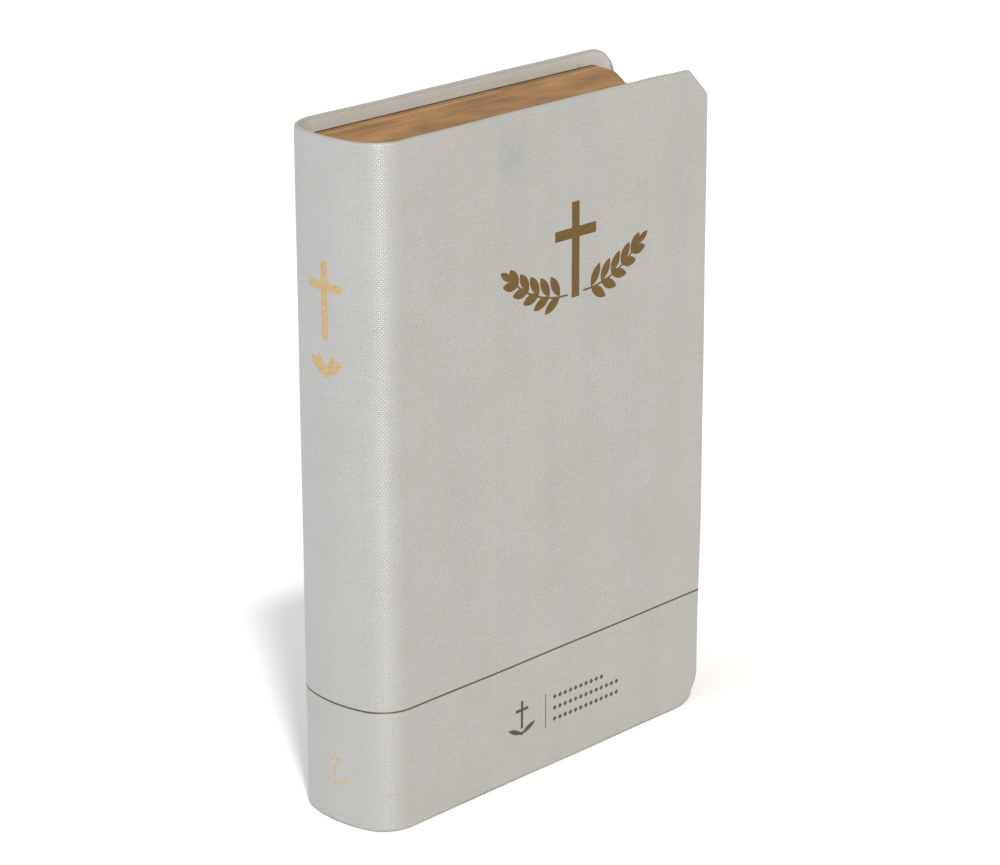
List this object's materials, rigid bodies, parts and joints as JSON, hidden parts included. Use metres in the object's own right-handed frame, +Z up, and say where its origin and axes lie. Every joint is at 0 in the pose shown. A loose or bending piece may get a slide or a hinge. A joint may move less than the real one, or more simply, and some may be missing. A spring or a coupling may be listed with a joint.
{
  "type": "bible",
  "caption": "Closed pocket bible standing upright: soft woven-cloth case, rounded spine, gilt edges, sewn sections, covers that open on cloth hinges while the leaves fan.",
  "frame": {"origin": "middle of the tail edges that the book stands on, under the centre of its bounding box", "axes": "+Z up from tail to head, front cover facing -Y, rounded spine at -X, fore-edge at +X"},
  "size_m": [0.1182, 0.033, 0.175],
  "materials": {
    "cover_cloth": "satin",
    "gold_foil": "satin",
    "board": "matte",
    "endpaper": "matte",
    "gilt_leaves": "satin",
    "thread": "matte",
    "mull": "matte",
    "lining_paper": "matte"
  },
  "bodies": {
    "spine": {"spine_cloth": "cover_cloth", "spine_inlay": "board", "spine_title_foil": "gold_foil", "spine_foot_foil": "gold_foil", "spine_rule_foil": "gold_foil", "bound_backs": "gilt_leaves", "sewing_thread": "thread", "spine_mull": "mull", "spine_lining": "lining_paper"},
    "front_cover": {"front_cover_cloth": "cover_cloth", "front_board": "board", "front_pastedown": "endpaper", "front_title_foil": "gold_foil", "front_foot_foil": "gold_foil", "front_rule_foil": "gold_foil"},
    "front_flyleaf": {"front_flyleaf": "endpaper"},
    "section_01": {"section_01": "gilt_leaves"},
    "section_02": {"section_02": "gilt_leaves"},
    "section_03": {"section_03": "gilt_leaves"},
    "section_04": {"section_04": "gilt_leaves"},
    "section_05": {"section_05": "gilt_leaves"},
    "section_06": {"section_06": "gilt_leaves"},
    "section_07": {"section_07": "gilt_leaves"},
    "section_08": {"section_08": "gilt_leaves"},
    "section_09": {"section_09": "gilt_leaves"},
    "section_10": {"section_10": "gilt_leaves"},
    "section_11": {"section_11": "gilt_leaves"},
    "section_12": {"section_12": "gilt_leaves"},
    "section_13": {"section_13": "gilt_leaves"},
    "section_14": {"section_14": "gilt_leaves"},
    "section_15": {"section_15": "gilt_leaves"},
    "section_16": {"section_16": "gilt_leaves"},
    "section_17": {"section_17": "gilt_leaves"},
    "section_18": {"section_18": "gilt_leaves"},
    "section_19": {"section_19": "gilt_leaves"},
    "section_20": {"section_20": "gilt_leaves"},
    "section_21": {"section_21": "gilt_leaves"},
    "section_22": {"section_22": "gilt_leaves"},
    "section_23": {"section_23": "gilt_leaves"},
    "section_24": {"section_24": "gilt_leaves"},
    "back_flyleaf": {"back_flyleaf": "endpaper"},
    "back_cover": {"back_cover_cloth": "cover_cloth", "back_board": "board", "back_pastedown": "endpaper", "back_rule_foil": "gold_foil"}
  },
  "joints": [
    {"name": "front_cover_open", "type": "hinge", "parent": "spine", "child": "front_cover", "pos_m": [-0.04825, -0.01655, 0.0875], "axis": [0, 0, -1], "range_deg": [0, 175]},
    {"name": "back_cover_open", "type": "hinge", "parent": "spine", "child": "back_cover", "pos_m": [-0.04825, 0.01655, 0.0875], "axis": [0, 0, 1], "range_deg": [0, 175]},
    {"name": "front_flyleaf_turn", "type": "hinge", "parent": "spine", "child": "front_flyleaf", "pos_m": [-0.04325, -0.01495, 0.0875], "axis": [0, 0, -1], "range_deg": [0, 140.01]},
    {"name": "back_flyleaf_turn", "type": "hinge", "parent": "spine", "child": "back_flyleaf", "pos_m": [-0.04325, 0.01495, 0.0875], "axis": [0, 0, 1], "range_deg": [0, 140.01]},
    {"name": "section_01_turn", "type": "hinge", "parent": "spine", "child": "section_01", "pos_m": [-0.04305, -0.01477, 0.0875], "axis": [0, 0, -1], "range_deg": [0, 90.01]},
    {"name": "section_02_turn", "type": "hinge", "parent": "spine", "child": "section_02", "pos_m": [-0.04197, -0.01354, 0.0875], "axis": [0, 0, -1], "range_deg": [0, 82.51]},
    {"name": "section_03_turn", "type": "hinge", "parent": "spine", "child": "section_03", "pos_m": [-0.04102, -0.01231, 0.0875], "axis": [0, 0, -1], "range_deg": [0, 75.01]},
    {"name": "section_04_turn", "type": "hinge", "parent": "spine", "child": "section_04", "pos_m": [-0.0402, -0.01107, 0.0875], "axis": [0, 0, -1], "range_deg": [0, 67.51]},
    {"name": "section_05_turn", "type": "hinge", "parent": "spine", "child": "section_05", "pos_m": [-0.03949, -0.00984, 0.0875], "axis": [0, 0, -1], "range_deg": [0, 60.01]},
    {"name": "section_06_turn", "type": "hinge", "parent": "spine", "child": "section_06", "pos_m": [-0.03888, -0.00861, 0.0875], "axis": [0, 0, -1], "range_deg": [0, 52.51]},
    {"name": "section_07_turn", "type": "hinge", "parent": "spine", "child": "section_07", "pos_m": [-0.03837, -0.00737, 0.0875], "axis": [0, 0, -1], "range_deg": [0, 45.01]},
    {"name": "section_08_turn", "type": "hinge", "parent": "spine", "child": "section_08", "pos_m": [-0.03795, -0.00614, 0.0875], "axis": [0, 0, -1], "range_deg": [0, 37.51]},
    {"name": "section_09_turn", "type": "hinge", "parent": "spine", "child": "section_09", "pos_m": [-0.03762, -0.00491, 0.0875], "axis": [0, 0, -1], "range_deg": [0, 30.01]},
    {"name": "section_10_turn", "type": "hinge", "parent": "spine", "child": "section_10", "pos_m": [-0.03737, -0.00367, 0.0875], "axis": [0, 0, -1], "range_deg": [0, 22.51]},
    {"name": "section_11_turn", "type": "hinge", "parent": "spine", "child": "section_11", "pos_m": [-0.03721, -0.00244, 0.0875], "axis": [0, 0, -1], "range_deg": [0, 15.01]},
    {"name": "section_12_turn", "type": "hinge", "parent": "spine", "child": "section_12", "pos_m": [-0.03713, -0.00121, 0.0875], "axis": [0, 0, -1], "range_deg": [0, 7.51]},
    {"name": "section_13_turn", "type": "hinge", "parent": "spine", "child": "section_13", "pos_m": [-0.03713, 0.00121, 0.0875], "axis": [0, 0, 1], "range_deg": [0, 7.51]},
    {"name": "section_14_turn", "type": "hinge", "parent": "spine", "child": "section_14", "pos_m": [-0.03721, 0.00244, 0.0875], "axis": [0, 0, 1], "range_deg": [0, 15.01]},
    {"name": "section_15_turn", "type": "hinge", "parent": "spine", "child": "section_15", "pos_m": [-0.03737, 0.00367, 0.0875], "axis": [0, 0, 1], "range_deg": [0, 22.51]},
    {"name": "section_16_turn", "type": "hinge", "parent": "spine", "child": "section_16", "pos_m": [-0.03762, 0.00491, 0.0875], "axis": [0, 0, 1], "range_deg": [0, 30.01]},
    {"name": "section_17_turn", "type": "hinge", "parent": "spine", "child": "section_17", "pos_m": [-0.03795, 0.00614, 0.0875], "axis": [0, 0, 1], "range_deg": [0, 37.51]},
    {"name": "section_18_turn", "type": "hinge", "parent": "spine", "child": "section_18", "pos_m": [-0.03837, 0.00737, 0.0875], "axis": [0, 0, 1], "range_deg": [0, 45.01]},
    {"name": "section_19_turn", "type": "hinge", "parent": "spine", "child": "section_19", "pos_m": [-0.03888, 0.00861, 0.0875], "axis": [0, 0, 1], "range_deg": [0, 52.51]},
    {"name": "section_20_turn", "type": "hinge", "parent": "spine", "child": "section_20", "pos_m": [-0.03949, 0.00984, 0.0875], "axis": [0, 0, 1], "range_deg": [0, 60.01]},
    {"name": "section_21_turn", "type": "hinge", "parent": "spine", "child": "section_21", "pos_m": [-0.0402, 0.01107, 0.0875], "axis": [0, 0, 1], "range_deg": [0, 67.51]},
    {"name": "section_22_turn", "type": "hinge", "parent": "spine", "child": "section_22", "pos_m": [-0.04102, 0.01231, 0.0875], "axis": [0, 0, 1], "range_deg": [0, 75.01]},
    {"name": "section_23_turn", "type": "hinge", "parent": "spine", "child": "section_23", "pos_m": [-0.04197, 0.01354, 0.0875], "axis": [0, 0, 1], "range_deg": [0, 82.51]},
    {"name": "section_24_turn", "type": "hinge", "parent": "spine", "child": "section_24", "pos_m": [-0.04305, 0.01477, 0.0875], "axis": [0, 0, 1], "range_deg": [0, 90.01]}
  ],
  "couplings": [
    {"joint": "front_flyleaf_turn", "follows": "front_cover_open", "ratio": 0.8},
    {"joint": "back_flyleaf_turn", "follows": "back_cover_open", "ratio": 0.8},
    {"joint": "section_01_turn", "follows": "front_cover_open", "ratio": 0.51429},
    {"joint": "section_02_turn", "follows": "front_cover_open", "ratio": 0.47143},
    {"joint": "section_03_turn", "follows": "front_cover_open", "ratio": 0.42857},
    {"joint": "section_04_turn", "follows": "front_cover_open", "ratio": 0.38571},
    {"joint": "section_05_turn", "follows": "front_cover_open", "ratio": 0.34286},
    {"joint": "section_06_turn", "follows": "front_cover_open", "ratio": 0.3},
    {"joint": "section_07_turn", "follows": "front_cover_open", "ratio": 0.25714},
    {"joint": "section_08_turn", "follows": "front_cover_open", "ratio": 0.21429},
    {"joint": "section_09_turn", "follows": "front_cover_open", "ratio": 0.17143},
    {"joint": "section_10_turn", "follows": "front_cover_open", "ratio": 0.12857},
    {"joint": "section_11_turn", "follows": "front_cover_open", "ratio": 0.085714},
    {"joint": "section_12_turn", "follows": "front_cover_open", "ratio": 0.042857},
    {"joint": "section_13_turn", "follows": "back_cover_open", "ratio": 0.042857},
    {"joint": "section_14_turn", "follows": "back_cover_open", "ratio": 0.085714},
    {"joint": "section_15_turn", "follows": "back_cover_open", "ratio": 0.12857},
    {"joint": "section_16_turn", "follows": "back_cover_open", "ratio": 0.17143},
    {"joint": "section_17_turn", "follows": "back_cover_open", "ratio": 0.21429},
    {"joint": "section_18_turn", "follows": "back_cover_open", "ratio": 0.25714},
    {"joint": "section_19_turn", "follows": "back_cover_open", "ratio": 0.3},
    {"joint": "section_20_turn", "follows": "back_cover_open", "ratio": 0.34286},
    {"joint": "section_21_turn", "follows": "back_cover_open", "ratio": 0.38571},
    {"joint": "section_22_turn", "follows": "back_cover_open", "ratio": 0.42857},
    {"joint": "section_23_turn", "follows": "back_cover_open", "ratio": 0.47143},
    {"joint": "section_24_turn", "follows": "back_cover_open", "ratio": 0.51429}
  ]
}
